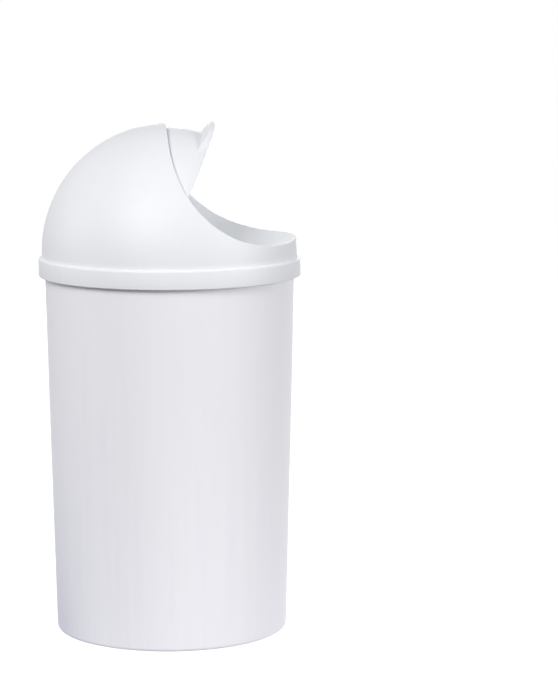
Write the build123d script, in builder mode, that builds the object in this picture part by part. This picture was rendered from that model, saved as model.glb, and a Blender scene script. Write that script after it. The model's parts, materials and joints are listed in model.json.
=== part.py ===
from build123d import *

import os
from math import cos, hypot, radians, sin, sqrt, tan

# A round kitchen bin with a domed hood and a curved flap that swings open into the hood.
# All sizes are in millimetres. The origin is on the floor at the middle of the base, +Z is up,
# and the front of the bin, where the flap opens, faces -Y. The part is drawn with its flap open.

# Small rounding on moulded edges that have no radius of their own
EDGE_BREAK = 0.4

# Bucket
BASE_RADIUS = 141.8
BUCKET_HEIGHT = 457.7
WALL_TAPER = 0.0244
BUCKET_WALL = 2.2
BASE_THICKNESS = 2.4
BASE_EDGE_RADIUS = 4.5
BASE_INSIDE_RADIUS = 3.0
FOOT_HEIGHT = 3.0
FOOT_INNER_RADIUS = 129.0
FOOT_CORNER_RADIUS = 1.0
GATE_RADIUS = 3.0
GATE_HEIGHT = 0.8
RIM_RADIUS = 157.4
RIM_WALL = 2.2
RIM_LEG = 11.7
RIM_EDGE_RADIUS = 1.0

# Hood: a dome over a short skirt that reaches down around the bucket's rim
PIVOT_HEIGHT = 466.4
HOOD_RADIUS = 156.1
HOOD_WALL = 2.1
SKIRT_RADIUS = 160.0
SKIRT_WALL = 2.2
SKIRT_BOTTOM = 438.0
SKIRT_TOP = 459.9
SKIRT_SHOULDER_RADIUS = 2.6
SKIRT_EDGE_RADIUS = 1.0

# Mouth: a level cylinder, lying across the bin, scoops the front out of the dome
MOUTH_RADIUS = 131.7
MOUTH_FORWARD = 127.5
MOUTH_RISE = 147.7
MOUTH_EDGE_RADIUS = 0.7

# Flap: a piece of a smaller ball about the same centre, with flat cheeks at the pivots.
# Heights along its edge are above the pivot, with the flap shut.
FLAP_RADIUS = 151.0
FLAP_WALL = 2.0
FLAP_HALF_WIDTH = 145.0
CHEEK_CORNER_RADIUS = 6.0
FLAP_TRAVEL = 64.0
FLAP_BACK_ANGLE = 104.0
EAR_RADIUS = 10.0
EAR_FRONT = 24.0
EAR_CORNER_RADIUS = 8.0
EDGE_ROOT_RADIUS = 147.9
FLAP_RIM_RADIUS = 152.0
FLAP_RIM_BOTTOM = 18.7
FLAP_RIM_NOSE = 2.1
FLAP_RIM_TOP = 28.6
FLAP_RIM_EDGE_RADII = (0.7, 1.5)

# Handle lip: a hollow brim along the middle of the flap's edge
LIP_REACH = 165.4
LIP_HALF_SPAN = 68.0
LIP_WALL = 2.4
LIP_NOSE_BOTTOM = 18.4
LIP_NOSE_TOP = 21.9
LIP_TOP = 28.2
LIP_TOP_EDGE_RADIUS = 1.4
LIP_RIB_ANGLES = (-105, -90, -75)
LIP_RIB_THICKNESS = 1.8
LIP_RIB_BOTTOM = 19.2

# Pivots: headed pins pushed from inside through the ears into blind bosses in the hood
PIN_RADIUS = 3.0
PIN_RUNNING_CLEARANCE = 0.08
PIN_HEAD_RADIUS = 6.0
PIN_HEAD_THICKNESS = 2.2
PIN_TIP_CHAMFER = 0.6
SIDE_GAP = 0.3
BOSS_RADIUS = 7.5
BORE_END = 152.6
GUSSET_ANGLES = (25, 90, 155)
GUSSET_REACH = 20.0
GUSSET_INSET = 3.5
GUSSET_THICKNESS = 1.8

# Stops: two ribs at the back of the hood that the open flap comes to rest on
STOP_SIDE = 70.0
STOP_THICKNESS = 3.0
STOP_DEPTH = 9.0
STOP_BOTTOM = 458.4

# Longer than any radius here, for cuts that go right through
FAR = 175.0

skirt_inner_radius = SKIRT_RADIUS - SKIRT_WALL
hood_inner_radius = HOOD_RADIUS - HOOD_WALL
flap_inner_radius = FLAP_RADIUS - FLAP_WALL


def wall_radius(height):
    """Outside radius of the bucket's wall at a height above the floor."""
    return BASE_RADIUS + WALL_TAPER * height


def ball_offset(radius, side):
    """Distance from the pivot axis to a ball's surface, at a distance to the side of its centre."""
    return sqrt(radius**2 - side**2)


# Bucket: one turned profile with the foot ring, the tapered wall and the turned-over rim

rim_underside = BUCKET_HEIGHT - RIM_WALL
floor_top = FOOT_HEIGHT + BASE_THICKNESS
foot_top_radius = FOOT_INNER_RADIUS - FOOT_HEIGHT
slope_shift = BASE_THICKNESS * (sqrt(2) - 1)
bucket_corners = [
    (0, FOOT_HEIGHT, 0),
    (foot_top_radius, FOOT_HEIGHT, FOOT_CORNER_RADIUS),
    (FOOT_INNER_RADIUS, 0, EDGE_BREAK),
    (BASE_RADIUS, 0, BASE_EDGE_RADIUS),
    (wall_radius(rim_underside), rim_underside, EDGE_BREAK),
    (RIM_RADIUS - RIM_WALL, rim_underside, EDGE_BREAK),
    (RIM_RADIUS - RIM_WALL, BUCKET_HEIGHT - RIM_LEG, EDGE_BREAK),
    (RIM_RADIUS, BUCKET_HEIGHT - RIM_LEG, EDGE_BREAK),
    (RIM_RADIUS, BUCKET_HEIGHT, RIM_EDGE_RADIUS),
    (wall_radius(BUCKET_HEIGHT) - BUCKET_WALL, BUCKET_HEIGHT, RIM_EDGE_RADIUS),
    (wall_radius(BASE_THICKNESS) - BUCKET_WALL, BASE_THICKNESS, BASE_INSIDE_RADIUS),
    (FOOT_INNER_RADIUS + slope_shift, BASE_THICKNESS, FOOT_CORNER_RADIUS),
    (foot_top_radius + slope_shift, floor_top, FOOT_CORNER_RADIUS),
    (0, floor_top, 0),
]
with BuildPart() as bin_body:
    with BuildSketch(Plane.XZ):
        with BuildLine():
            FilletPolyline(
                [(radius, height) for radius, height, corner in bucket_corners],
                radius=[corner for radius, height, corner in bucket_corners],
                close=True,
            )
        make_face()
    revolve(axis=Axis.Z)
    with BuildSketch(Plane.XY.offset(FOOT_HEIGHT)):
        Circle(GATE_RADIUS)
    extrude(amount=-GATE_HEIGHT)
bin_body.part.label = "bin_body"

# Hood: a turned dome and skirt, scooped out at the front, with bosses and ribs inside

boss_face = FLAP_HALF_WIDTH + SIDE_GAP
skirt_corners = [
    (HOOD_RADIUS, SKIRT_TOP, EDGE_BREAK),
    (SKIRT_RADIUS, SKIRT_TOP, SKIRT_SHOULDER_RADIUS),
    (SKIRT_RADIUS, SKIRT_BOTTOM, SKIRT_EDGE_RADIUS),
    (skirt_inner_radius, SKIRT_BOTTOM, EDGE_BREAK),
    (skirt_inner_radius, BUCKET_HEIGHT, EDGE_BREAK),
    (hood_inner_radius, BUCKET_HEIGHT, EDGE_BREAK),
]
stop_angle = radians(180 - FLAP_BACK_ANGLE - FLAP_TRAVEL)


def stop_height(back):
    """Height of the open flap's rear edge above the floor, at a distance behind the pivot."""
    return PIVOT_HEIGHT + back * tan(stop_angle) - EAR_RADIUS / cos(stop_angle)


hood_middle = hood_inner_radius + HOOD_WALL / 2
rib_back_low = ball_offset(hood_middle, STOP_SIDE)
stop_rise = stop_height(rib_back_low) - PIVOT_HEIGHT
rib_back_high = ball_offset(hood_middle, hypot(STOP_SIDE, stop_rise))
rib_front = rib_back_low - STOP_DEPTH
with BuildPart() as lid_hood:
    with BuildSketch(Plane.XZ):
        with BuildLine():
            FilletPolyline(
                [
                    (HOOD_RADIUS, PIVOT_HEIGHT),
                    *[(radius, height) for radius, height, corner in skirt_corners],
                    (hood_inner_radius, PIVOT_HEIGHT),
                ],
                radius=[corner for radius, height, corner in skirt_corners],
            )
            CenterArc((0, PIVOT_HEIGHT), HOOD_RADIUS, 0, 90)
            Line((0, PIVOT_HEIGHT + HOOD_RADIUS), (0, PIVOT_HEIGHT + hood_inner_radius))
            CenterArc((0, PIVOT_HEIGHT), hood_inner_radius, 0, 90)
        make_face()
    revolve(axis=Axis.Z)
    with BuildSketch(Plane.YZ):
        with Locations((-MOUTH_FORWARD, PIVOT_HEIGHT + MOUTH_RISE)):
            Circle(MOUTH_RADIUS)
    extrude(amount=FAR, both=True, mode=Mode.SUBTRACT)
    mouth = lid_hood.faces().filter_by(GeomType.CYLINDER).filter_by(
        lambda face: abs(face.radius - MOUTH_RADIUS) < HOOD_WALL
    )
    fillet(mouth.edges(), MOUTH_EDGE_RADIUS)

    for side in (-1, 1):
        with BuildSketch(Plane.YZ.offset(side * boss_face)):
            with Locations((0, PIVOT_HEIGHT)):
                Circle(BOSS_RADIUS)
        extrude(amount=side * (hood_middle - boss_face))
        with BuildSketch(Plane.YZ.offset(side * (boss_face + GUSSET_INSET))):
            for angle in GUSSET_ANGLES:
                with Locations(Location((0, PIVOT_HEIGHT), angle)):
                    Rectangle(GUSSET_REACH, GUSSET_THICKNESS, align=(Align.MIN, Align.CENTER))
        extrude(amount=side * (hood_inner_radius - boss_face - GUSSET_INSET))
        with BuildSketch(Plane.YZ.offset(side * boss_face)):
            with Locations((0, PIVOT_HEIGHT)):
                Circle(PIN_RADIUS)
        extrude(amount=side * (BORE_END - boss_face), mode=Mode.SUBTRACT)

        with BuildSketch(Plane.YZ.offset(side * STOP_SIDE)):
            with BuildLine():
                Polyline(
                    (rib_front, STOP_BOTTOM),
                    (rib_back_low, STOP_BOTTOM),
                    (rib_back_high, stop_height(rib_back_high)),
                    (rib_front, stop_height(rib_front)),
                    close=True,
                )
            make_face()
        extrude(amount=STOP_THICKNESS / 2, both=True)
lid_hood.part.label = "lid_hood"

# Flap: drawn shut, about its own pivot, then swung open

back_direction = (-cos(radians(FLAP_BACK_ANGLE)), sin(radians(FLAP_BACK_ANGLE)))
ear_back = (EAR_RADIUS * back_direction[1], -EAR_RADIUS * back_direction[0])
back_end = (ear_back[0] + FAR * back_direction[0], ear_back[1] + FAR * back_direction[1])
cheek_inside = FLAP_HALF_WIDTH - FLAP_WALL
cheek_height = ball_offset(FLAP_RADIUS, FLAP_HALF_WIDTH)
cheek_inner_height = ball_offset(flap_inner_radius, cheek_inside)
lip_rise = LIP_REACH - ball_offset(FLAP_RIM_RADIUS, LIP_HALF_SPAN)
lip_curve_radius = (LIP_HALF_SPAN**2 + lip_rise**2) / (2 * lip_rise)
lip_centre = lip_curve_radius - LIP_REACH
lip_slope = (LIP_TOP - LIP_NOSE_TOP) / (LIP_REACH - EDGE_ROOT_RADIUS)


def lip_height(radius):
    """Height of the lip's sloping top above the pivot, at a distance from the dome's axis."""
    return LIP_TOP - (radius - EDGE_ROOT_RADIUS) * lip_slope


def lip_block(inset, bottom):
    """A solid block under the lip's sloping top, inset from its top and from its front."""
    beyond = LIP_REACH + LIP_WALL
    with BuildPart() as block:
        with BuildSketch(Plane.XZ):
            with BuildLine():
                Polyline(
                    (EDGE_ROOT_RADIUS, bottom),
                    (beyond, bottom),
                    (beyond, lip_height(beyond) - inset),
                    (EDGE_ROOT_RADIUS, LIP_TOP - inset),
                    close=True,
                )
            make_face()
        revolve(axis=Axis.Z)
        with BuildSketch(Plane.XY):
            with Locations((0, lip_centre)):
                Circle(lip_curve_radius - inset)
        extrude(amount=FAR, mode=Mode.INTERSECT)
        if inset == 0:
            nose = block.faces().filter_by(GeomType.CYLINDER).sort_by(Axis.Y)[0]
            fillet(nose.edges().filter_by(GeomType.BSPLINE), LIP_TOP_EDGE_RADIUS)
    return block.part


with BuildPart() as handle_lip:
    add(lip_block(0, LIP_NOSE_BOTTOM))
    add(lip_block(LIP_WALL, 0), mode=Mode.SUBTRACT)
with BuildPart() as lip_ribs:
    add(lip_block(0, LIP_RIB_BOTTOM))
    with BuildSketch(Plane.XY):
        for angle in LIP_RIB_ANGLES:
            with Locations(Location((0, 0), angle)):
                Rectangle(
                    LIP_REACH - LIP_WALL / 2, LIP_RIB_THICKNESS, align=(Align.MIN, Align.CENTER)
                )
    extrude(amount=FAR, mode=Mode.INTERSECT)

with BuildPart() as shut_flap:
    with BuildSketch(Plane.XY):
        with BuildLine():
            outer = ThreePointArc(
                (-FLAP_HALF_WIDTH, cheek_height), (0, FLAP_RADIUS), (FLAP_HALF_WIDTH, cheek_height)
            )
            inner = ThreePointArc(
                (-cheek_inside, cheek_inner_height),
                (0, flap_inner_radius),
                (cheek_inside, cheek_inner_height),
            )
            Polyline(outer @ 0, (-FLAP_HALF_WIDTH, 0), (-cheek_inside, 0), inner @ 0)
            Polyline(outer @ 1, (FLAP_HALF_WIDTH, 0), (cheek_inside, 0), inner @ 1)
        shell = make_face()
        corners = shell.vertices().filter_by(lambda corner: corner.Y > EAR_RADIUS).sort_by(Axis.X)
        fillet([corners[0], corners[-1]], CHEEK_CORNER_RADIUS)
        corners = shell.vertices().filter_by(lambda corner: corner.Y > EAR_RADIUS).sort_by(Axis.X)
        fillet(corners[1:-1], CHEEK_CORNER_RADIUS - FLAP_WALL)
    revolve(axis=Axis.X)
    with BuildSketch(Plane.XZ):
        with BuildLine():
            FilletPolyline(
                (EDGE_ROOT_RADIUS, FLAP_RIM_BOTTOM),
                (FLAP_RIM_RADIUS, FLAP_RIM_BOTTOM),
                (FLAP_RIM_RADIUS, FLAP_RIM_BOTTOM + FLAP_RIM_NOSE),
                (EDGE_ROOT_RADIUS, FLAP_RIM_TOP),
                radius=(0, *FLAP_RIM_EDGE_RADII, 0),
                close=True,
            )
        make_face()
    revolve(axis=Axis.Z)
    with BuildSketch(Plane.YZ):
        with BuildLine():
            Polyline(
                ear_back,
                back_end,
                (-FAR, back_end[1]),
                (-FAR, FLAP_RIM_BOTTOM),
                (-EAR_FRONT, FLAP_RIM_BOTTOM),
                (-EAR_RADIUS, 0),
                (0, 0),
                close=True,
            )
        outline = make_face()
        ear_corner = outline.vertices().sort_by_distance((0, -EAR_FRONT, FLAP_RIM_BOTTOM))[0]
        fillet(ear_corner, EAR_CORNER_RADIUS)
        Circle(EAR_RADIUS)
    extrude(amount=FLAP_HALF_WIDTH, both=True, mode=Mode.INTERSECT)
    add(handle_lip.part)
    add(lip_ribs.part)
    with BuildSketch(Plane.YZ):
        Circle(PIN_RADIUS + PIN_RUNNING_CLEARANCE)
    extrude(amount=FAR, both=True, mode=Mode.SUBTRACT)

with BuildPart() as swing_flap:
    with Locations((0, 0, PIVOT_HEIGHT)):
        add(shut_flap.part, rotation=(-FLAP_TRAVEL, 0, 0))
swing_flap.part.label = "swing_flap"

# Pivot pins: a domed head, a shaft through the ear and a chamfered tip in the boss

head_outside = cheek_inside - SIDE_GAP
pin_tip = BORE_END - PIN_TIP_CHAMFER
pivot_pins = []
for side, name in ((-1, "pivot_pin_left"), (1, "pivot_pin_right")):
    with BuildPart() as pivot_pin:
        with BuildSketch(Plane.YZ.offset(side * (head_outside - PIN_HEAD_THICKNESS))):
            with Locations((0, PIVOT_HEIGHT)):
                Circle(PIN_HEAD_RADIUS)
        extrude(amount=side * PIN_HEAD_THICKNESS)
        head_rim = pivot_pin.edges().group_by(Axis.X)[0 if side > 0 else -1]
        fillet(head_rim, PIN_HEAD_THICKNESS / 2)
        with BuildSketch(Plane.YZ.offset(side * head_outside)):
            with Locations((0, PIVOT_HEIGHT)):
                Circle(PIN_RADIUS)
        extrude(amount=side * (pin_tip - head_outside))
        tip_edge = pivot_pin.edges().group_by(Axis.X)[-1 if side > 0 else 0]
        chamfer(tip_edge, PIN_TIP_CHAMFER)
    pivot_pin.part.label = name
    pivot_pins.append(pivot_pin)

os.makedirs("parts", exist_ok=True)
for piece in (bin_body, lid_hood, swing_flap, *pivot_pins):
    export_step(piece.part, f"parts/{piece.part.label}.step")
    print(piece.part.label, round(piece.part.volume), piece.part.is_valid)
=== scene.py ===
# %% [markdown]
# # A swing-lid kitchen bin
#
# The bin is three injection mouldings in white polypropylene: a tapered bucket, a domed hood that lifts
# off it, and a curved flap that swings up into the hood. Two small pins carry the flap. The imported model
# already holds every size, joint and resting place, so this lesson starts from that fixed frame and only
# adds what the eye wants: clean curved surfaces, soft moulded edges and a believable plastic.

# %% Load the fixed frame
import json
import math

import bmesh
import bpy
import numpy as np
from mathutils import Matrix, Vector


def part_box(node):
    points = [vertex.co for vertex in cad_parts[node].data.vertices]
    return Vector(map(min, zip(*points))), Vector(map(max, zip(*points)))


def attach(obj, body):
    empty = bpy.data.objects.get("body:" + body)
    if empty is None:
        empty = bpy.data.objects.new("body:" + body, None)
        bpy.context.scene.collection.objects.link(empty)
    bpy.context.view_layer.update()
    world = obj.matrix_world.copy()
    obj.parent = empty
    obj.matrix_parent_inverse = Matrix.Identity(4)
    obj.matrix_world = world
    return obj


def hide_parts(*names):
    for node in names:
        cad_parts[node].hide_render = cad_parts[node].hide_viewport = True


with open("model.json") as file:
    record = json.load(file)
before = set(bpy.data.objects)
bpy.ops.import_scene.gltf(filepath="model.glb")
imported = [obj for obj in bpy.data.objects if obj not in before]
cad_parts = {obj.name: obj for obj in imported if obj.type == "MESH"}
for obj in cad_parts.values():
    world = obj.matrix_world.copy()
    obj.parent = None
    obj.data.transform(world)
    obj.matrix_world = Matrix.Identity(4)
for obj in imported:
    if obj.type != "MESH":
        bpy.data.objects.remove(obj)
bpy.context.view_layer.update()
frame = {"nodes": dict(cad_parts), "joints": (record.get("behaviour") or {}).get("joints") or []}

# %% [markdown]
# ## The sizes that every step shares
#
# Lengths are in metres, as the frame's are. What the frame can tell is read from it: a piece's box gives
# its radius or its height, and the hinge joint gives the line that the flap turns about. Only sizes that
# no box shows, such as a wall's thickness, are written out. Giving them names once keeps the bucket, the
# hood and the flap fitting each other.

# %% Shared sizes
MM = 0.001
EDGE_BREAK = 0.4 * MM
SAME_PLACE = 0.003 * MM

swing = next(joint for joint in frame["joints"] if joint["name"] == "flap_swing")
pivot_height = swing["pos_m"][2]
flap_travel = math.radians(swing["range_deg"][1])
bucket_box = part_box("bin_body")
hood_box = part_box("lid_hood")
flap_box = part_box("swing_flap")
hood_radius = hood_box[1].z - pivot_height
print("pivot height", round(pivot_height, 4), "dome radius", round(hood_radius, 4))

# %% [markdown]
# ## The camera
#
# The object was seen from its left side and a little above, from far enough away that it hardly narrows
# towards the bottom. A long lens from 3.3 metres gives that. The bin stood left of the picture's middle.
# Sliding the sensor would do that too, but every other view would keep the slide, so instead the camera
# turns a little to the right and down until the bin's middle lands on its pixel.

# %% Camera
PICTURE_WIDTH, PICTURE_HEIGHT = 558, 688
FOCAL_PIXELS = 2652
SENSOR = 36
LOOK_AT = Vector((0, 0, 0.310))
LOOK_AT_PIXEL = (170.6, 377.6)
CAMERA_DISTANCE = 3.267
CAMERA_AZIMUTH = math.radians(-92.24)
CAMERA_ELEVATION = math.radians(8.96)

away = Vector((
    math.sin(CAMERA_AZIMUTH) * math.cos(CAMERA_ELEVATION),
    -math.cos(CAMERA_AZIMUTH) * math.cos(CAMERA_ELEVATION),
    math.sin(CAMERA_ELEVATION),
))
right_share = (LOOK_AT_PIXEL[0] - PICTURE_WIDTH / 2) / FOCAL_PIXELS
up_share = (PICTURE_HEIGHT / 2 - LOOK_AT_PIXEL[1]) / FOCAL_PIXELS
sight = -away * math.sqrt(1 + right_share**2 + up_share**2)
pitch = math.asin(sight.z / math.hypot(1, up_share)) - math.atan(up_share)
forward_share = math.cos(pitch) - up_share * math.sin(pitch)
heading = math.atan2(sight.y, sight.x) + math.atan2(right_share, forward_share)
aim = Vector((
    math.cos(heading) * math.cos(pitch), math.sin(heading) * math.cos(pitch), math.sin(pitch)
))

lens = bpy.data.cameras.new("long_lens")
lens.sensor_width = SENSOR
lens.lens = FOCAL_PIXELS * SENSOR / max(PICTURE_WIDTH, PICTURE_HEIGHT)
camera = bpy.data.objects.new("camera", lens)
camera.location = LOOK_AT + away * CAMERA_DISTANCE
camera.rotation_euler = aim.to_track_quat("-Z", "Y").to_euler()
bpy.context.scene.collection.objects.link(camera)
bpy.context.scene.camera = camera
print("lens", round(lens.lens, 1), "mm, camera at", [round(v, 3) for v in camera.location])

# %% [markdown]
# ## Two small helpers for node trees
#
# Colours are written as the hex values that a paint program shows, but Blender computes in linear light,
# so one function turns them round. A second function adds any node to any tree: its settings, its fixed
# inputs and its links are given in one call, which keeps a long tree readable from top to bottom.

# %% Node helpers
def linear(hex_colour):
    """Turns an sRGB hex colour, such as #E6E6E8, into linear RGBA."""
    channels = [int(hex_colour[i:i + 2], 16) / 255 for i in (1, 3, 5)]
    return tuple(c / 12.92 if c <= 0.04045 else ((c + 0.055) / 1.055) ** 2.4 for c in channels) + (1,)


def add(tree, kind, settings=None, inputs=None, links=None):
    """Adds a node, sets its properties and unlinked inputs, and links sockets into it."""
    node = tree.nodes.new(kind)
    for name, value in (settings or {}).items():
        setattr(node, name, value)
    for key, value in (inputs or {}).items():
        node.inputs[key].default_value = value
    for key, socket in (links or {}).items():
        tree.links.new(socket, node.inputs[key])
    return node


# %% [markdown]
# ## White polypropylene
#
# Polypropylene is the waxy, slightly soft plastic of buckets and food boxes. Moulded against polished
# steel it has a satin gloss: lamps show as broad soft patches with no sharp outline. Its index of
# refraction is about 1.49. Where the melt ran up the wall from the middle of the base it leaves faint
# upright streaks, a little cooler than the rest. The wall is never quite flat or evenly glossy, and its
# skin has a fine grain. The material could be one plain white, but those small unevennesses are what
# makes it plastic and not paint, so streaks, waves and grain are each a noise pattern of its own size.

# %% Plastic material
STREAK_WIDTH = 9 * MM
STREAK_RANGE = (0.35, 0.75)
UPRIGHT_FLOW = (1, 1, 0.04)
HOOD_FLOW = (1, 1, 0.3)
WAVE_LENGTH = 60 * MM
WAVE_RANGE = (0.3, 0.7)
WAVE_DEPTH = 0.5 * MM
WAVE_STRENGTH = 0.15
GLOSS_CHANGE = 0.015
GRAIN_SIZE = 1.2 * MM  # the real grain is nearer 0.2 mm, which is too fine to show from here
GRAIN_DEPTH = 0.02 * MM
GRAIN_STRENGTH = 0.06
MIX_FIRST, MIX_SECOND, MIX_RESULT = 6, 7, 2  # places of the colour sockets on a Mix node


def moulded_plastic(name, colour, cool_colour, roughness, ior, streaks, flow=UPRIGHT_FLOW):
    """A white moulded plastic with flow streaks, slow waves in the wall and a fine satin grain."""
    material = bpy.data.materials.new(name)
    material.use_nodes = True
    tree = material.node_tree
    tree.nodes.clear()
    place = add(tree, "ShaderNodeTexCoord").outputs["Object"]

    along_flow = add(tree, "ShaderNodeMapping", inputs={"Scale": flow}, links={"Vector": place})
    streak = add(
        tree, "ShaderNodeTexNoise",
        inputs={"Scale": 1 / STREAK_WIDTH, "Detail": 3, "Roughness": 0.6},
        links={"Vector": along_flow.outputs["Vector"]},
    )
    wave = add(
        tree, "ShaderNodeTexNoise",
        inputs={"Scale": 1 / WAVE_LENGTH, "Detail": 1}, links={"Vector": place},
    )
    grain = add(
        tree, "ShaderNodeTexNoise",
        inputs={"Scale": 1 / GRAIN_SIZE, "Detail": 2, "Roughness": 0.5}, links={"Vector": place},
    )

    coolness = add(
        tree, "ShaderNodeMapRange",
        inputs={"From Min": STREAK_RANGE[0], "From Max": STREAK_RANGE[1], "To Max": streaks},
        links={"Value": streak.outputs["Fac"]},
    )
    tint = add(
        tree, "ShaderNodeMix", settings={"data_type": "RGBA"},
        inputs={MIX_FIRST: linear(colour), MIX_SECOND: linear(cool_colour)},
        links={0: coolness.outputs["Result"]},
    )
    dullness = add(
        tree, "ShaderNodeMapRange",
        inputs={
            "From Min": WAVE_RANGE[0], "From Max": WAVE_RANGE[1],
            "To Min": roughness - GLOSS_CHANGE, "To Max": roughness + GLOSS_CHANGE,
        },
        links={"Value": wave.outputs["Fac"]},
    )
    slow_bump = add(
        tree, "ShaderNodeBump", inputs={"Strength": WAVE_STRENGTH, "Distance": WAVE_DEPTH},
        links={"Height": wave.outputs["Fac"]},
    )
    fine_bump = add(
        tree, "ShaderNodeBump", inputs={"Strength": GRAIN_STRENGTH, "Distance": GRAIN_DEPTH},
        links={"Height": grain.outputs["Fac"], "Normal": slow_bump.outputs["Normal"]},
    )
    plastic = add(
        tree, "ShaderNodeBsdfPrincipled",
        inputs={"IOR": ior, "Metallic": 0},
        links={
            "Base Color": tint.outputs[MIX_RESULT],
            "Roughness": dullness.outputs["Result"],
            "Normal": fine_bump.outputs["Normal"],
        },
    )
    add(tree, "ShaderNodeOutputMaterial", links={"Surface": plastic.outputs["BSDF"]})
    return material


# Bucket: white polypropylene, moulded. A soft white with upright flow streaks.
body_plastic = moulded_plastic(
    "white_polypropylene_body", "#F4F4F5", "#EDEDF1", roughness=0.44, ior=1.49, streaks=0.4
)
# Hood and flap: the same plastic, a slightly cooler and duller white, painted a little greyer than the
# bucket as shade that tones down the stronger light on the dome.
lid_plastic = moulded_plastic(
    "white_polypropylene_lid", "#E8EAEB", "#E1E3E7", roughness=0.50, ior=1.49, streaks=0.2,
    flow=HOOD_FLOW,
)
# Pins: white acetal, moulded. A harder and slightly yellower plastic with a dull look.
pin_plastic = moulded_plastic(
    "white_acetal_pins", "#E9E8E2", "#DEDDD8", roughness=0.42, ior=1.48, streaks=0.2
)
print("materials", [m.name for m in (body_plastic, lid_plastic, pin_plastic)])

# %% [markdown]
# ## Tools for moulded shapes
#
# Every piece here is a thin wall of even thickness whose outline has small arcs at its corners, because
# steel tools can't be cut perfectly sharp and plastic wouldn't fill them. One function draws such an
# outline from a short list of corners, in two or three dimensions. A second one skins a grid of points
# with four-sided faces, which shade more evenly than the triangles of a cut-up solid.

# %% Outline and skin helpers
CORNER_STEPS = 4
NO_LENGTH = 1e-9
NO_BEND = 1e-6
LEAST_EDGE = 0.001 * MM
CREASE = math.radians(35)


def rounded(corners, radii, steps=CORNER_STEPS):
    """Points along a path through the corners, with an arc of its own radius at each inner corner."""
    corners = [np.array(corner, float) for corner in corners]
    points = [corners[0]]
    for before, corner, after, radius in zip(corners, corners[1:], corners[2:], radii):
        back, on = before - corner, after - corner
        back_length, on_length = np.linalg.norm(back), np.linalg.norm(on)
        if radius == 0 or min(back_length, on_length) < NO_LENGTH:
            points += [corner] * (steps + 1)
            continue
        back, on = back / back_length, on / on_length
        half_angle = math.acos(max(-1.0, min(1.0, float(back @ on)))) / 2
        middle = back + on
        if np.linalg.norm(middle) < NO_BEND:
            points += [corner] * (steps + 1)
            continue
        reach = min(radius / math.tan(half_angle), back_length / 2, on_length / 2)
        centre = corner + middle / np.linalg.norm(middle) * reach / math.cos(half_angle)
        start, end = corner + back * reach - centre, corner + on * reach - centre
        sweep = math.pi - 2 * half_angle
        for step in range(steps + 1):
            share = step / steps
            points.append(centre + (
                math.sin((1 - share) * sweep) * start + math.sin(share * sweep) * end
            ) / math.sin(sweep))
    points.append(corners[-1])
    return np.array(points)


def skin(bm, grid, wrap_rows=False, wrap_columns=False):
    """Adds four-sided faces over a grid of points, given as rows of equal length."""
    rows, columns = grid.shape[:2]
    verts = [[bm.verts.new(point) for point in row] for row in grid]
    for r in range(rows if wrap_rows else rows - 1):
        for c in range(columns if wrap_columns else columns - 1):
            here, below = verts[r], verts[(r + 1) % rows]
            after = (c + 1) % columns
            bm.faces.new((here[c], here[after], below[after], below[c]))


def finished_mesh(bm, name, material):
    """Merges doubles, turns faces outwards, smooths all but sharp edges and gives the material."""
    bmesh.ops.remove_doubles(bm, verts=bm.verts, dist=SAME_PLACE)
    bmesh.ops.dissolve_degenerate(bm, edges=bm.edges, dist=LEAST_EDGE)
    bmesh.ops.recalc_face_normals(bm, faces=bm.faces)
    mesh = bpy.data.meshes.new(name)
    bm.to_mesh(mesh)
    bm.free()
    mesh.shade_smooth()
    mesh.set_sharp_from_angle(angle=CREASE)
    mesh.materials.append(material)
    print(name, len(mesh.polygons), "faces")
    return mesh


def piece(name, mesh, body, slot, *nodes):
    """Puts a finished mesh in the scene as a piece that stands for CAD nodes and rides on a body."""
    thing = bpy.data.objects.new(name, mesh)
    bpy.context.scene.collection.objects.link(thing)
    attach(thing, body)
    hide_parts(*nodes)
    return thing


# %% [markdown]
# ## The bucket
#
# The bucket is round all the way: a foot ring, a wall that widens by 22 millimetres on its way up, and a
# rim that turns over and down to stiffen the mouth. A shape like that is one outline spun about an axis,
# which is a rule, so Geometry Nodes make it and the outline stays easy to change. The outline's corner
# radii are stored as the radius of each curve point; Fillet Curve reads them, and Curve to Mesh carries
# the outline round a circle as a lathe would. A Screw modifier could spin it too, but wouldn't round it.

# %% Lathe tree
SPIN_CIRCLE = 100 * MM
SPIN_SEAM = 0.01 * MM


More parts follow.
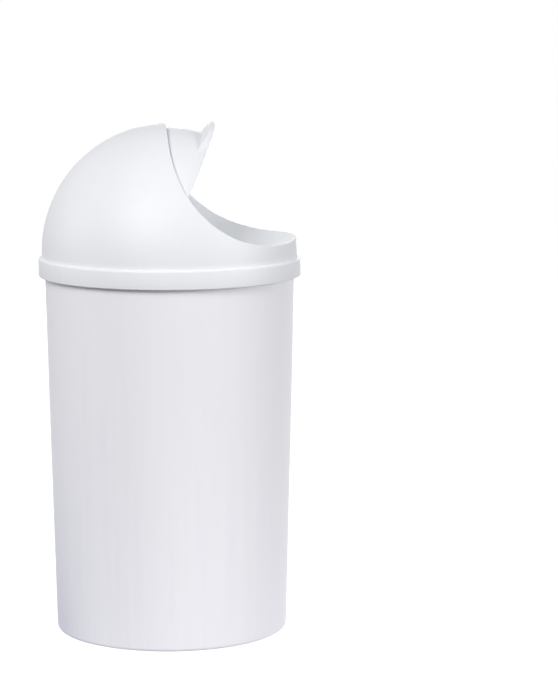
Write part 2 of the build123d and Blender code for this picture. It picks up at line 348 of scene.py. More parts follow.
def lathe_tree():
    """Geometry Nodes: rounds the corners of an outline, spins it about Z and closes it."""
    tree = bpy.data.node_groups.new("lathe", "GeometryNodeTree")
    sockets = {"Outline": "NodeSocketGeometry", "Spin steps": "NodeSocketInt",
               "Corner steps": "NodeSocketInt", "Circle": "NodeSocketFloat",
               "Material": "NodeSocketMaterial"}
    for name, kind in sockets.items():
        tree.interface.new_socket(name, in_out="INPUT", socket_type=kind)
    tree.interface.new_socket("Mesh", in_out="OUTPUT", socket_type="NodeSocketGeometry")
    given = add(tree, "NodeGroupInput").outputs
    corner = add(tree, "GeometryNodeInputRadius")
    outline = add(
        tree, "GeometryNodeFilletCurve", settings={"mode": "POLY"}, inputs={"Limit Radius": True},
        links={"Curve": given["Outline"], "Count": given["Corner steps"], "Radius": corner.outputs[0]},
    )
    circle = add(
        tree, "GeometryNodeCurvePrimitiveCircle",
        links={"Resolution": given["Spin steps"], "Radius": given["Circle"]},
    )
    spun = add(
        tree, "GeometryNodeCurveToMesh",
        links={"Curve": circle.outputs["Curve"], "Profile Curve": outline.outputs["Curve"]},
    )
    closed = add(
        tree, "GeometryNodeMergeByDistance", inputs={"Distance": SPIN_SEAM},
        links={"Geometry": spun.outputs["Mesh"]},
    )
    real = add(
        tree, "GeometryNodeRealizeInstances", links={"Geometry": closed.outputs["Geometry"]}
    )
    painted = add(
        tree, "GeometryNodeSetMaterial",
        links={"Geometry": real.outputs["Geometry"], "Material": given["Material"]},
    )
    add(tree, "NodeGroupOutput", links={"Mesh": painted.outputs["Geometry"]})
    return tree


def built(thing, tree, values):
    """Runs a Geometry Nodes tree on an object, with its named inputs, and returns a plain bmesh."""
    modifier = thing.modifiers.new("build", "NODES")
    modifier.node_group = tree
    for item in tree.interface.items_tree:
        if item.name in values:
            modifier[item.identifier] = values[item.name]
    bpy.context.scene.collection.objects.link(thing)
    graph = bpy.context.evaluated_depsgraph_get()
    mesh = bpy.data.meshes.new_from_object(thing.evaluated_get(graph))
    bm = bmesh.new()
    bm.from_mesh(mesh)
    bpy.data.meshes.remove(mesh)
    thing.modifiers.remove(modifier)
    bpy.data.objects.remove(thing)
    return bm


lathe = lathe_tree()


def turned(corners, spin_steps, material):
    """Spins an outline of (radius, height, corner radius) about the Z axis."""
    curve = bpy.data.curves.new("outline", "CURVE")
    curve.dimensions = "3D"
    line = curve.splines.new("POLY")
    line.points.add(len(corners) - 1)
    for point, (radius, height, corner) in zip(line.points, corners):
        point.co = (radius - SPIN_CIRCLE, -height, 0, 1)  # Curve to Mesh turns Y downwards
        point.radius = corner
    line.use_cyclic_u = corners[0][0] > 0
    values = {"Spin steps": spin_steps, "Corner steps": CORNER_STEPS, "Circle": SPIN_CIRCLE,
              "Material": material}
    return built(bpy.data.objects.new("outline", curve), lathe, values)


# %% Bucket
WALL_TAPER = 0.0244
BUCKET_WALL = 2.2 * MM
BASE_RADIUS = 141.8 * MM
BASE_THICKNESS = 2.4 * MM
BASE_EDGE_RADIUS = 4.5 * MM
BASE_INSIDE_RADIUS = 3 * MM
FOOT_HEIGHT = 3 * MM
FOOT_INNER_RADIUS = 129 * MM
FOOT_CORNER_RADIUS = 1 * MM
RIM_LEG = 11.7 * MM
RIM_EDGE_RADIUS = 1 * MM
GATE_RADIUS = 3 * MM
GATE_HEIGHT = 0.8 * MM
ROUND_STEPS = 288

rim_radius, bucket_height = bucket_box[1].x, bucket_box[1].z


def wall_radius(height):
    """Outside radius of the bucket's wall at a height above the floor."""
    return BASE_RADIUS + WALL_TAPER * height


floor_top = FOOT_HEIGHT + BASE_THICKNESS
foot_top_radius = FOOT_INNER_RADIUS - FOOT_HEIGHT
slope_shift = BASE_THICKNESS * (math.sqrt(2) - 1)
rim_underside = bucket_height - BUCKET_WALL
bucket = turned([
    (0, FOOT_HEIGHT - GATE_HEIGHT, 0),
    (GATE_RADIUS, FOOT_HEIGHT - GATE_HEIGHT, EDGE_BREAK),
    (GATE_RADIUS, FOOT_HEIGHT, EDGE_BREAK),
    (foot_top_radius, FOOT_HEIGHT, FOOT_CORNER_RADIUS),
    (FOOT_INNER_RADIUS, 0, EDGE_BREAK),
    (BASE_RADIUS, 0, BASE_EDGE_RADIUS),
    (wall_radius(rim_underside), rim_underside, EDGE_BREAK),
    (rim_radius - BUCKET_WALL, rim_underside, EDGE_BREAK),
    (rim_radius - BUCKET_WALL, bucket_height - RIM_LEG, EDGE_BREAK),
    (rim_radius, bucket_height - RIM_LEG, EDGE_BREAK),
    (rim_radius, bucket_height, RIM_EDGE_RADIUS),
    (wall_radius(bucket_height) - BUCKET_WALL, bucket_height, RIM_EDGE_RADIUS),
    (wall_radius(BASE_THICKNESS) - BUCKET_WALL, BASE_THICKNESS, BASE_INSIDE_RADIUS),
    (FOOT_INNER_RADIUS + slope_shift, BASE_THICKNESS, FOOT_CORNER_RADIUS),
    (foot_top_radius + slope_shift, floor_top, FOOT_CORNER_RADIUS),
    (0, floor_top, 0),
], ROUND_STEPS, body_plastic)
bucket_mesh = finished_mesh(bucket, "tapered_bucket", body_plastic)
piece("tapered_bucket", bucket_mesh, "bin", "body_plastic", "bin_body")

# %% [markdown]
# ## Small ribs, repeated by a rule
#
# Thin plastic is stiffened with ribs, and they come in sets: three gussets stand round each pivot boss
# and three webs stand under the flap's lip. One rib is drawn and Geometry Nodes repeat it along
# an arc. The outer ribs of a set may be shorter, so the scale falls off from the middle of the arc to
# its ends. An Array modifier would repeat them too, but couldn't shorten the outer ones.

# %% Rib tree
def rib_tree():
    """Geometry Nodes: repeats a rib along an arc about Z, with shorter ribs towards the ends."""
    tree = bpy.data.node_groups.new("ribs_on_an_arc", "GeometryNodeTree")
    sockets = {"Rib": "NodeSocketGeometry", "Count": "NodeSocketInt", "Radius": "NodeSocketFloat",
               "Middle angle": "NodeSocketFloat", "Half span": "NodeSocketFloat",
               "End scale": "NodeSocketFloat", "Material": "NodeSocketMaterial"}
    for name, kind in sockets.items():
        tree.interface.new_socket(name, in_out="INPUT", socket_type=kind)
    tree.interface.new_socket("Mesh", in_out="OUTPUT", socket_type="NodeSocketGeometry")
    given = add(tree, "NodeGroupInput").outputs

    def maths(operation, first, second):
        """One step of arithmetic on sockets or plain numbers."""
        node = add(tree, "ShaderNodeMath", settings={"operation": operation})
        for socket, value in zip(node.inputs, (first, second)):
            if isinstance(value, (int, float)):
                socket.default_value = value
            else:
                tree.links.new(value, socket)
        return node.outputs[0]

    number = add(tree, "GeometryNodeInputIndex").outputs[0]
    gaps = maths("SUBTRACT", given["Count"], 1)
    place = maths("SUBTRACT", maths("DIVIDE", maths("MULTIPLY", number, 2), gaps), 1)
    angle = maths("ADD", given["Middle angle"], maths("MULTIPLY", place, given["Half span"]))
    loss = maths("SUBTRACT", 1, given["End scale"])
    length = maths("SUBTRACT", 1, maths("MULTIPLY", maths("MULTIPLY", place, place), loss))
    across = maths("MULTIPLY", given["Radius"], maths("COSINE", angle, 0))
    along = maths("MULTIPLY", given["Radius"], maths("SINE", angle, 0))
    position = add(tree, "ShaderNodeCombineXYZ", links={"X": across, "Y": along})
    rotation = add(tree, "ShaderNodeCombineXYZ", links={"Z": angle})
    scale = add(tree, "ShaderNodeCombineXYZ", inputs={"Y": 1, "Z": 1}, links={"X": length})
    line = add(tree, "GeometryNodeMeshLine", links={"Count": given["Count"]})
    arc = add(
        tree, "GeometryNodeSetPosition",
        links={"Geometry": line.outputs["Mesh"], "Position": position.outputs[0]},
    )
    ribs = add(
        tree, "GeometryNodeInstanceOnPoints",
        links={"Points": arc.outputs["Geometry"], "Instance": given["Rib"],
               "Rotation": rotation.outputs[0], "Scale": scale.outputs[0]},
    )
    real = add(
        tree, "GeometryNodeRealizeInstances", links={"Geometry": ribs.outputs["Instances"]}
    )
    painted = add(
        tree, "GeometryNodeSetMaterial",
        links={"Geometry": real.outputs["Geometry"], "Material": given["Material"]},
    )
    add(tree, "NodeGroupOutput", links={"Mesh": painted.outputs["Geometry"]})
    return tree


def plate(bm, outline, thickness, matrix=Matrix()):
    """Adds a flat plate: an outline in X and Z, given its thickness evenly to both sides along Y."""
    sides = [[bm.verts.new(matrix @ Vector((x, side * thickness / 2, z))) for x, z in outline]
             for side in (-1, 1)]
    bm.faces.new(sides[0])
    bm.faces.new(reversed(sides[1]))
    for k in range(len(outline)):
        bm.faces.new((sides[0][k], sides[1][k], sides[1][k - 1], sides[0][k - 1]))


def repeated(outline, thickness, values):
    """Draws one rib and runs the rib tree on it."""
    bm = bmesh.new()
    plate(bm, outline, thickness)
    mesh = bpy.data.meshes.new("rib")
    bm.to_mesh(mesh)
    bm.free()
    return built(bpy.data.objects.new("rib", mesh), ribs_on_an_arc, {**values, "Material": lid_plastic})


def join(bm, other, matrix):
    """Moves a bmesh and adds it to another one."""
    other.transform(matrix)
    mesh = bpy.data.meshes.new("joined")
    other.to_mesh(mesh)
    other.free()
    bm.from_mesh(mesh)
    bpy.data.meshes.remove(mesh)


ribs_on_an_arc = rib_tree()

# %% [markdown]
# ## The hood
#
# The hood is half a ball on a short skirt, and its mouth is what a level cylinder, lying across the bin,
# scoops out of the front. Cutting a ball with a cylinder is one Boolean modifier, but it leaves splinters
# along the cut that glossy plastic shows. Here the skin is laid out round the mouth instead: seen from
# the middle of the ball, each line of the grid starts at the mouth's edge and runs over the dome, down
# the skirt, round its lip and back up the inside. Where the cylinder meets the ball along each line is a
# small quadratic equation.

# %% Hood
HOOD_WALL = 2.1 * MM
SKIRT_WALL = 2.2 * MM
SKIRT_TOP = 459.9 * MM
SKIRT_SHOULDER_RADIUS = 2.6 * MM
SKIRT_EDGE_RADIUS = 1 * MM
MOUTH_RADIUS = 131.7 * MM
MOUTH_FORWARD = 127.5 * MM
MOUTH_RISE = 147.7 * MM
MOUTH_EDGE_RADIUS = 0.8 * MM
MOUTH_MARGIN = 3 * MOUTH_EDGE_RADIUS
DOME_STEPS = 56

skirt_radius, skirt_bottom = hood_box[1].x, hood_box[0].z
hood_inner = hood_radius - HOOD_WALL
pivot = np.array([0, 0, pivot_height])
mouth_distance = math.hypot(MOUTH_FORWARD, MOUTH_RISE)
mouth_axis = np.array([0, -MOUTH_FORWARD, MOUTH_RISE]) / mouth_distance
sideways = np.array([1, 0, 0])
upwards = np.array([0, MOUTH_RISE, MOUTH_FORWARD]) / mouth_distance


def mouth_angle(turn, radius):
    """Angle from the mouth's axis to its edge on a ball of this radius, in the direction of turn."""
    square = (radius * math.cos(turn)) ** 2
    linear_term = 2 * mouth_distance * radius
    constant = (radius * math.sin(turn)) ** 2 + mouth_distance**2 - MOUTH_RADIUS**2
    root = math.sqrt(linear_term**2 - 4 * square * constant)
    return math.acos(2 * constant / (linear_term + root))


def on_ball(turn, angle, radius):
    """A point on a ball about the pivot's middle, by polar angles about the mouth's axis."""
    outwards = math.cos(turn) * sideways + math.sin(turn) * upwards
    return pivot + radius * (math.cos(angle) * mouth_axis + math.sin(angle) * outwards)


def hood_line(turn):
    """One closed line round the hood's wall: dome outside, mouth edge, dome inside, skirt."""
    base_angle = math.atan2(MOUTH_RISE, -MOUTH_FORWARD * math.sin(turn))
    outer_edge, inner_edge = mouth_angle(turn, hood_radius), mouth_angle(turn, hood_inner)
    margin = MOUTH_MARGIN / hood_radius
    outer = [on_ball(turn, a, hood_radius)
             for a in np.linspace(base_angle, outer_edge + margin, DOME_STEPS)]
    inner = [on_ball(turn, a, hood_inner)
             for a in np.linspace(inner_edge + margin, base_angle, DOME_STEPS)]
    edge = rounded(
        [outer[-1], on_ball(turn, outer_edge, hood_radius),
         on_ball(turn, inner_edge, hood_inner), inner[0]],
        [MOUTH_EDGE_RADIUS] * 2,
    )
    across = on_ball(turn, base_angle, 1)[:2]
    skirt = rounded(
        [(hood_inner, pivot_height), (hood_inner, bucket_height),
         (skirt_radius - SKIRT_WALL, bucket_height), (skirt_radius - SKIRT_WALL, skirt_bottom),
         (skirt_radius, skirt_bottom), (skirt_radius, SKIRT_TOP), (hood_radius, SKIRT_TOP),
         (hood_radius, pivot_height)],
        [EDGE_BREAK, EDGE_BREAK, EDGE_BREAK, SKIRT_EDGE_RADIUS, SKIRT_SHOULDER_RADIUS, EDGE_BREAK],
    )[1:-1]
    skirt = [(across[0] * radius, across[1] * radius, height) for radius, height in skirt]
    return np.array([*outer, *edge[1:-1], *inner, *skirt])


hood = bmesh.new()
turns = np.linspace(-math.pi / 2, 1.5 * math.pi, ROUND_STEPS, endpoint=False)
skin(hood, np.array([hood_line(turn) for turn in turns]), wrap_rows=True, wrap_columns=True)

# %% [markdown]
# ## Inside the hood
#
# A blind boss on each side holds the flap's pin. It is a short turned tube, so the lathe makes it, and the
# rib tree sets three gussets round it. Two stop ribs at the back catch the open flap's rear edge, and
# their tops slope as that edge does, so flap and rib meet face to face.

# %% Bosses, gussets and stops
BOSS_RADIUS = 7.5 * MM
BOSS_STEPS = 64
PIN_RADIUS = 3 * MM
BOSS_GAP = 0.3 * MM
BORE_END = 152.6 * MM
GUSSET_COUNT = 3
GUSSET_REACH = 20 * MM
GUSSET_INSET = 3.5 * MM
GUSSET_THICKNESS = 1.8 * MM
GUSSET_ANGLES = {"Middle angle": math.radians(90), "Half span": math.radians(65)}
STOP_SIDE = 70 * MM
STOP_THICKNESS = 3 * MM
STOP_DEPTH = 9 * MM
STOP_BOTTOM = 458.4 * MM
BACK_ANGLE = math.radians(104)
EAR_RADIUS = 10 * MM
STOP_SLOPE = math.pi - BACK_ANGLE - flap_travel


def stop_height(back):
    """Height of the open flap's rear edge above the floor, at a distance behind the pivot."""
    return pivot_height + back * math.tan(STOP_SLOPE) - EAR_RADIUS / math.cos(STOP_SLOPE)


hood_middle = hood_inner + HOOD_WALL / 2
boss_face = flap_box[1].x + BOSS_GAP
boss_depth, bore_depth = hood_middle - boss_face, BORE_END - boss_face
gusset = [(0, GUSSET_INSET), (GUSSET_REACH, GUSSET_INSET),
          (GUSSET_REACH, hood_inner - boss_face), (0, hood_inner - boss_face)]
stop_back = math.sqrt(hood_middle**2 - STOP_SIDE**2)
stop_top_back = math.sqrt(stop_back**2 - (stop_height(stop_back) - pivot_height)**2)
stop_front = stop_back - STOP_DEPTH
stop = [(stop_front, STOP_BOTTOM), (stop_back, STOP_BOTTOM),
        (stop_top_back, stop_height(stop_top_back)), (stop_front, stop_height(stop_front))]
for side in (-1, 1):
    outwards = Matrix(((0, 0, side), (side, 0, 0), (0, 1, 0))).to_4x4()
    on_pivot = Matrix.Translation((side * boss_face, 0, pivot_height)) @ outwards
    boss = turned([
        (0, bore_depth, 0), (PIN_RADIUS, bore_depth, EDGE_BREAK), (PIN_RADIUS, 0, EDGE_BREAK),
        (BOSS_RADIUS, 0, EDGE_BREAK), (BOSS_RADIUS, boss_depth, 0), (0, boss_depth, 0),
    ], BOSS_STEPS, lid_plastic)
    join(hood, boss, on_pivot)
    gussets = repeated(gusset, GUSSET_THICKNESS, {
        "Count": GUSSET_COUNT, "Radius": 0, "End scale": 1, **GUSSET_ANGLES
    })
    join(hood, gussets, on_pivot)
    turned_back = Matrix.Translation((side * STOP_SIDE, 0, 0)) @ Matrix.Rotation(math.pi / 2, 4, "Z")
    plate(hood, stop, STOP_THICKNESS, turned_back)
hood_mesh = finished_mesh(hood, "domed_hood", lid_plastic)
piece("domed_hood", hood_mesh, "lid", "lid_plastic", "lid_hood")

# %% [markdown]
# ## The flap
#
# The flap is a piece of a slightly smaller ball about the same centre, so it can turn inside the hood. Its
# sides are flat cheeks that run down to two ears on the pivots. Its front edge flares a little, and in
# the middle it grows into a hollow lip for the fingers. It is drawn shut, where every edge is level or
# upright, and then swung open. Each line of the grid runs from the rear edge forward over the ball, round
# the rim or the lip and back along the inside. A line that has no lip keeps the lip's points, folded
# together, so that neighbouring lines always match; merging doubles removes them afterwards.

# %% Flap sizes
FLAP_RADIUS = 151 * MM
FLAP_WALL = 2 * MM
CHEEK_CORNER_RADIUS = 6 * MM
EAR_FRONT = 24 * MM
EAR_CORNER_RADIUS = 8 * MM
PIN_HOLE_RADIUS = 3.08 * MM
ROOT_RADIUS = 147.9 * MM
RIM_NOSE_RADIUS = 152 * MM
RIM_BOTTOM = 18.7 * MM
RIM_NOSE_TOP = 20.8 * MM
RIM_TOP = 28.6 * MM
RIM_EDGE_RADII = (1.5 * MM, 0.7 * MM)
LIP_REACH = 165.4 * MM
LIP_HALF_SPAN = 68 * MM
LIP_WALL = 2.4 * MM
LIP_BOTTOM = 18.4 * MM
LIP_NOSE_TOP = 21.9 * MM
LIP_TOP = 28.2 * MM
LIP_TOP_EDGE_RADIUS = 1.4 * MM
FLAP_STEPS = 168
HOOP_STEPS = 48
LEAST_SINE = 0.01

flap_side = flap_box[1].x
corner_side = flap_side - CHEEK_CORNER_RADIUS
corner_rise = math.sqrt((FLAP_RADIUS - CHEEK_CORNER_RADIUS)**2 - corner_side**2)
corner_angle = math.atan2(corner_rise, corner_side)
lip_rise = LIP_REACH - math.sqrt(RIM_NOSE_RADIUS**2 - LIP_HALF_SPAN**2)
lip_curve = (LIP_HALF_SPAN**2 + lip_rise**2) / (2 * lip_rise)
lip_centre = LIP_REACH - lip_curve
rim_slope = (RIM_TOP - RIM_NOSE_TOP) / (RIM_NOSE_RADIUS - ROOT_RADIUS)
lip_slope = (LIP_TOP - LIP_NOSE_TOP) / (LIP_REACH - ROOT_RADIUS)


def shell_profile(inset):
    """Points (x, distance from the pivot line) of the shell's section, inset from its outside."""
    bend = CHEEK_CORNER_RADIUS - inset
    corner = [(corner_side + bend * math.cos(a), corner_rise + bend * math.sin(a))
              for a in np.linspace(0, corner_angle, CORNER_STEPS, endpoint=False)]
    middle = [((FLAP_RADIUS - inset) * math.cos(a), (FLAP_RADIUS - inset) * math.sin(a))
              for a in np.linspace(corner_angle, math.pi - corner_angle, FLAP_STEPS)]
    return corner + middle + [(-x, away) for x, away in reversed(corner)]


def hoop(x, away, first, last, steps):
    """Points round the pivot line, between two angles measured up from straight ahead."""
    return [np.array([x, -away * math.cos(a), away * math.sin(a)])
            for a in np.linspace(first, last, steps)]


def rear_angle(away):
    """Angle of the straight rear edge, which passes behind the pivot by the ear's radius."""
    return BACK_ANGLE + math.asin(EAR_RADIUS / away)


def cone_height(radius, root_height, slope):
    """Height of a sloping ring above the pivot, at a distance from the bin's middle line."""
    return root_height - (radius - ROOT_RADIUS) * slope


def meeting_height(distance, root_height, slope):
    """Height at which a sloping ring meets a shell point that is this far from the centre."""
    run = 1 / slope
    reach = ROOT_RADIUS + root_height * run
    inside = (reach * run)**2 - (1 + run**2) * (reach**2 - distance**2)
    return (reach * run - math.sqrt(inside)) / (1 + run**2)


def lip_edge(azimuth, inset):
    """Distance of the lip's curved front from the bin's middle line, inset from its outside."""
    sideways = lip_centre * math.sin(azimuth)
    return lip_centre * math.cos(azimuth) + math.sqrt((lip_curve - inset)**2 - sideways**2)


def edge_section(azimuth, distance):
    """The corners (radius, height) of the edge at an azimuth, and the height where it leaves the ball."""
    widest = flap_side / max(abs(math.sin(azimuth)), LEAST_SINE)
    rim = min(RIM_NOSE_RADIUS, widest)
    rim_top = cone_height(rim, RIM_TOP, rim_slope)
    nose, hollow = lip_edge(azimuth, 0), lip_edge(azimuth, LIP_WALL)
    leaves = meeting_height(distance, LIP_TOP, lip_slope)
    if nose < math.sqrt(distance**2 - leaves**2):
        leaves = meeting_height(distance, RIM_TOP, rim_slope)
        return [None] * 5 + [(rim, rim_top), (rim, RIM_BOTTOM)], leaves
    top = (nose, cone_height(nose, LIP_TOP, lip_slope))
    if nose < RIM_NOSE_RADIUS:
        step = (nose, cone_height(nose, RIM_TOP, rim_slope))
        return [top] + [step] * 4 + [(rim, rim_top), (rim, RIM_BOTTOM)], leaves
    bottom = (nose, LIP_BOTTOM)
    if hollow < RIM_NOSE_RADIUS + EDGE_BREAK:
        return [top] + [bottom] * 4 + [(rim, LIP_BOTTOM), (rim, RIM_BOTTOM)], leaves
    ceiling = LIP_TOP - LIP_WALL
    inner_radius = ROOT_RADIUS + (RIM_TOP - ceiling) / (rim_slope - lip_slope)
    return [
        top, bottom, (hollow, LIP_BOTTOM), (hollow, cone_height(hollow, ceiling, lip_slope)),
        (inner_radius, cone_height(inner_radius, ceiling, lip_slope)),
        (rim, rim_top), (rim, RIM_BOTTOM),
    ], leaves


def flap_line(outer, inner, at_cheek):
    """One closed line round the flap's wall; the outside comes first, from rear to front."""
    (x, away), (inner_x, inner_away) = outer, inner
    azimuth = math.atan2(x, math.sqrt(away**2 - RIM_BOTTOM**2))
    corners, leaves = edge_section(azimuth, math.hypot(x, away))
    front, inner_front = math.asin(leaves / away), math.asin(RIM_BOTTOM / inner_away)
    outside = hoop(x, away, rear_angle(away), front, HOOP_STEPS)
    inside = hoop(inner_x, inner_away, inner_front, rear_angle(inner_away), HOOP_STEPS)
    placed = [
        outside[-1] if corner is None else np.array([
            corner[0] * math.sin(azimuth), -corner[0] * math.cos(azimuth), corner[1]
        ])
        for corner in corners
    ]
    nose_radius, bottom_radius = RIM_EDGE_RADII
    radii = [0, LIP_TOP_EDGE_RADIUS, *[EDGE_BREAK] * 4, nose_radius, 0 if at_cheek else bottom_radius, 0]
    edge = rounded([outside[-2], outside[-1], *placed, inside[0], inside[1]], radii)
    return [*outside[:-1], *edge[1:-1], *inside[1:]]


# %% Flap
EAR_STEPS = 40
WEB_COUNT = 3
WEB_SPREAD = math.radians(15)
WEB_START = 149 * MM
WEB_BOTTOM = 19.2 * MM
WEB_THICKNESS = 1.8 * MM
WEB_INSET = 0.5 * MM


def cheek(bm, line):
    """Closes one flat side of the flap: two plates with a pin hole, joined round their free edge."""
    side = line[0][0]
    outer_edge = [point for point in line if abs(point[0] - side) < EDGE_BREAK]
    inner_edge = [point for point in line if abs(point[0] - side) > EDGE_BREAK][::-1]
    corner = rounded([outer_edge[-1][1:], (-EAR_FRONT, RIM_BOTTOM), (-EAR_RADIUS, 0)],
                     [EAR_CORNER_RADIUS])
    ear = [(EAR_RADIUS * math.cos(a), EAR_RADIUS * math.sin(a))
           for a in np.linspace(math.pi, 2.5 * math.pi - BACK_ANGLE, EAR_STEPS)]
    free = [*corner, *ear[1:], outer_edge[0][1:]]
    hole = [(PIN_HOLE_RADIUS * math.cos(a), PIN_HOLE_RADIUS * math.sin(a))
            for a in np.linspace(0, math.tau, EAR_STEPS)]
    for outline in (free, hole):
        skin(bm, np.array([[(edge[0][0], y, z) for y, z in outline]
                           for edge in (outer_edge, inner_edge)]))
    for edge in (outer_edge, inner_edge):
        border = []
        for outline in ([*[point[1:] for point in edge], *free[1:-1]], hole[:-1]):
            ring = []
            for y, z in outline:
                place = Vector((edge[0][0], y, z))
                if not ring or (place - ring[-1].co).length > SAME_PLACE:
                    ring.append(bm.verts.new(place))
            border += [bm.edges.new(pair) for pair in zip(ring, ring[1:] + ring[:1])]
        bmesh.ops.triangle_fill(bm, edges=border, use_beauty=True, normal=(1, 0, 0))


flap = bmesh.new()
profiles = list(zip(shell_profile(0), shell_profile(FLAP_WALL)))
lines = [flap_line(outer, inner, k in (0, len(profiles) - 1))
         for k, (outer, inner) in enumerate(profiles)]
skin(flap, np.array(lines), wrap_columns=True)
cheek(flap, lines[0])
cheek(flap, lines[-1])

web_length = lip_edge(0, LIP_WALL / 2) - WEB_START
web_tops = [cone_height(radius, LIP_TOP, lip_slope) - WEB_INSET
            for radius in (WEB_START, WEB_START + web_length)]
web = [(0, WEB_BOTTOM), (web_length, WEB_BOTTOM), (web_length, web_tops[1]), (0, web_tops[0])]
webs = repeated(web, WEB_THICKNESS, {
    "Count": WEB_COUNT, "Radius": WEB_START, "Middle angle": -math.pi / 2, "Half span": WEB_SPREAD,
    "End scale": (lip_edge(WEB_SPREAD, LIP_WALL / 2) - WEB_START) / web_length,
})
join(flap, webs, Matrix())

swung_open = Matrix.Translation((0, 0, pivot_height)) @ Matrix.Rotation(-flap_travel, 4, "X")
flap.transform(swung_open)
flap_mesh = finished_mesh(flap, "curved_flap", lid_plastic)
piece("curved_flap", flap_mesh, "flap", "lid_plastic", "swing_flap")

# %% [markdown]
# ## The plain white studio
#
# The bin stands on a plain pale floor in front of white. White things on white need a light that falls
# off towards their sides, or they have no edges, and the thin shadow under the band needs one that comes
# from above. So a large soft lamp near the camera does most, with weaker ones at the front, at the back
# and on the far side, a pale ceiling and a glowing floor that is brightest round the bin. A small lamp
# inside the bucket lights the hood from below, as thin plastic that lets some light through would. The
# camera and mirror-like reflections see clean white instead: a Light Path node tells those rays from the
# ones that light the bin. To the camera the floor is a matt grey surface with a glow of its own, so it is
# white and still shows a faint shadow. To the bin it has a blue shade beside the base, which cools that
# side.

# %% Studio
CEILING_COLOUR = "#F0F0FC"
CEILING_STRENGTH = 0.42
CEILING_EDGE = (0.25, 0.45)
FLOOR_NEAR = 0.57
FLOOR_FAR = 0.17
FLOOR_LIGHT_COLOUR = "#F2F2FE"
FLOOR_EDGE = (0.5, 0.7)
SHADE_COLOUR = "#1E2A8E"
SHADE_PLACE = (0.10, 0.27, 0)
SHADE_RADIUS = 0.22
SHADE_EDGE = (0.6, 1.4)
SEEN_FLOOR_COLOUR = "#A0A0A6"
FLOOR_GLOW = 0.89
FLOOR_SIZE = 30
LAMP_DISTANCE = 3.6
HOOD_MIDDLE = Vector((0, 0, 0.52))


def seen_directly(tree):
    """A socket that is 1 for rays that see the backdrop, and 0 for rays that only carry light."""
    path = add(tree, "ShaderNodeLightPath")
    seen = add(
        tree, "ShaderNodeMath", settings={"operation": "MAXIMUM"},
        links={0: path.outputs["Is Camera Ray"], 1: path.outputs["Is Glossy Ray"]},
    )
    return add(
        tree, "ShaderNodeMath", settings={"operation": "MAXIMUM"},
        links={0: seen.outputs[0], 1: path.outputs["Is Transmission Ray"]},
    ).outputs[0]


world = bpy.data.worlds.new("white_room")
world.use_nodes = True
tree = world.node_tree
tree.nodes.clear()
direction = add(tree, "ShaderNodeTexCoord").outputs["Generated"]
height = add(tree, "ShaderNodeSeparateXYZ", links={0: direction}).outputs["Z"]
ceiling = add(
    tree, "ShaderNodeMapRange", settings={"interpolation_type": "SMOOTHSTEP"},
    inputs={"From Min": CEILING_EDGE[0], "From Max": CEILING_EDGE[1], "To Max": CEILING_STRENGTH},
    links={"Value": height},
)
room = add(
    tree, "ShaderNodeBackground", inputs={"Color": linear(CEILING_COLOUR)},
    links={"Strength": ceiling.outputs["Result"]},
)
backdrop = add(tree, "ShaderNodeBackground", inputs={"Color": (1, 1, 1, 1), "Strength": 1})
chosen = add(
    tree, "ShaderNodeMixShader",
    links={0: seen_directly(tree), 1: room.outputs[0], 2: backdrop.outputs[0]},
)
add(tree, "ShaderNodeOutputWorld", links={"Surface": chosen.outputs[0]})
bpy.context.scene.world = world

floor_material = bpy.data.materials.new("pale_studio_floor")
floor_material.use_nodes = True
tree = floor_material.node_tree
tree.nodes.clear()
spot = add(tree, "ShaderNodeTexCoord").outputs["Object"]
from_shade = add(
    tree, "ShaderNodeVectorMath", settings={"operation": "DISTANCE"}, inputs={1: SHADE_PLACE},
    links={0: spot},
)
openness = add(
    tree, "ShaderNodeMapRange", settings={"interpolation_type": "SMOOTHSTEP"},
    inputs={"From Min": SHADE_EDGE[0] * SHADE_RADIUS, "From Max": SHADE_EDGE[1] * SHADE_RADIUS},
    links={"Value": from_shade.outputs["Value"]},
)
lighting_colour = add(
    tree, "ShaderNodeMix", settings={"data_type": "RGBA"},
    inputs={MIX_FIRST: linear(SHADE_COLOUR), MIX_SECOND: linear(FLOOR_LIGHT_COLOUR)},
    links={0: openness.outputs["Result"]},
)
from_bin = add(tree, "ShaderNodeVectorMath", settings={"operation": "LENGTH"}, links={0: spot})
lighting_strength = add(
    tree, "ShaderNodeMapRange", settings={"interpolation_type": "SMOOTHSTEP"},
    inputs={
        "From Min": FLOOR_EDGE[0], "From Max": FLOOR_EDGE[1], "To Min": FLOOR_NEAR, "To Max": FLOOR_FAR,
    },
    links={"Value": from_bin.outputs["Value"]},
)
lighting = add(
    tree, "ShaderNodeEmission",
    links={
        "Color": lighting_colour.outputs[MIX_RESULT], "Strength": lighting_strength.outputs["Result"],
    },
)
matt = add(tree, "ShaderNodeBsdfDiffuse", inputs={"Color": linear(SEEN_FLOOR_COLOUR)})
glow = add(tree, "ShaderNodeEmission", inputs={"Color": (1, 1, 1, 1), "Strength": FLOOR_GLOW})
seen_floor = add(tree, "ShaderNodeAddShader", links={0: matt.outputs[0], 1: glow.outputs[0]})
chosen = add(
    tree, "ShaderNodeMixShader",
    links={0: seen_directly(tree), 1: lighting.outputs[0], 2: seen_floor.outputs[0]},
)
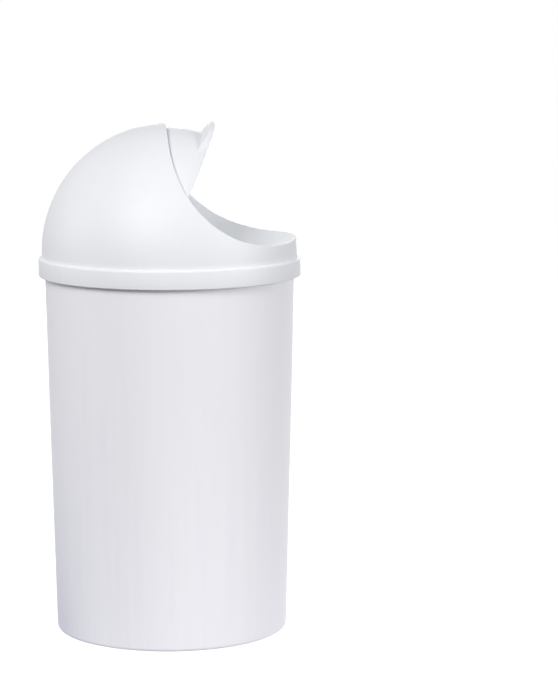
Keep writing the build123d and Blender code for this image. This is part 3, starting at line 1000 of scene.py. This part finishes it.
add(tree, "ShaderNodeOutputMaterial", links={"Surface": chosen.outputs[0]})

half = FLOOR_SIZE / 2
floor_mesh = bpy.data.meshes.new("studio_floor")
floor_mesh.from_pydata(
    [(-half, -half, 0), (half, -half, 0), (half, half, 0), (-half, half, 0)], [], [(0, 1, 2, 3)]
)
floor_mesh.materials.append(floor_material)
floor = bpy.data.objects.new("studio_floor", floor_mesh)
bpy.context.scene.collection.objects.link(floor)


def soft_lamp(name, azimuth, elevation, size, share, distance=LAMP_DISTANCE, target=LOOK_AT):
    """A square white lamp. A share of 1 shows a surface that faces it in its full colour."""
    turn, rise = math.radians(azimuth), math.radians(elevation)
    back = Vector((
        math.sin(turn) * math.cos(rise), -math.cos(turn) * math.cos(rise), math.sin(rise)
    ))
    light = bpy.data.lights.new(name, "AREA")
    light.size = size
    light.energy = share * math.pi**2 * distance**2
    lamp = bpy.data.objects.new(name, light)
    lamp.location = target + back * distance
    lamp.rotation_euler = (-back).to_track_quat("-Z", "Y").to_euler()
    bpy.context.scene.collection.objects.link(lamp)
    return lamp


soft_lamp("key_lamp", azimuth=-118, elevation=34, size=1.6, share=0.68)
soft_lamp("front_lamp", azimuth=-30, elevation=12, size=1.3, share=0.47)
soft_lamp("back_lamp", azimuth=180, elevation=12, size=0.5, share=0.14, distance=1.2, target=HOOD_MIDDLE)
soft_lamp("far_side_lamp", azimuth=80, elevation=5, size=1.3, share=0.42)
inside_lamp = soft_lamp(
    "inside_lamp", azimuth=0, elevation=-90, size=0.16, share=0.52, distance=0.2, target=HOOD_MIDDLE
)
inside_lamp.visible_camera = False

bpy.context.scene.view_settings.view_transform = "Standard"

# %% [markdown]
# ## The pins
#
# The two pins hardly show, so the frame's own meshes stand for them and only need their plastic.

# %% Finish
for name in ("pivot_pin_left", "pivot_pin_right"):
    mesh = frame["nodes"][name].data
    mesh.materials.clear()
    mesh.materials.append(pin_plastic)
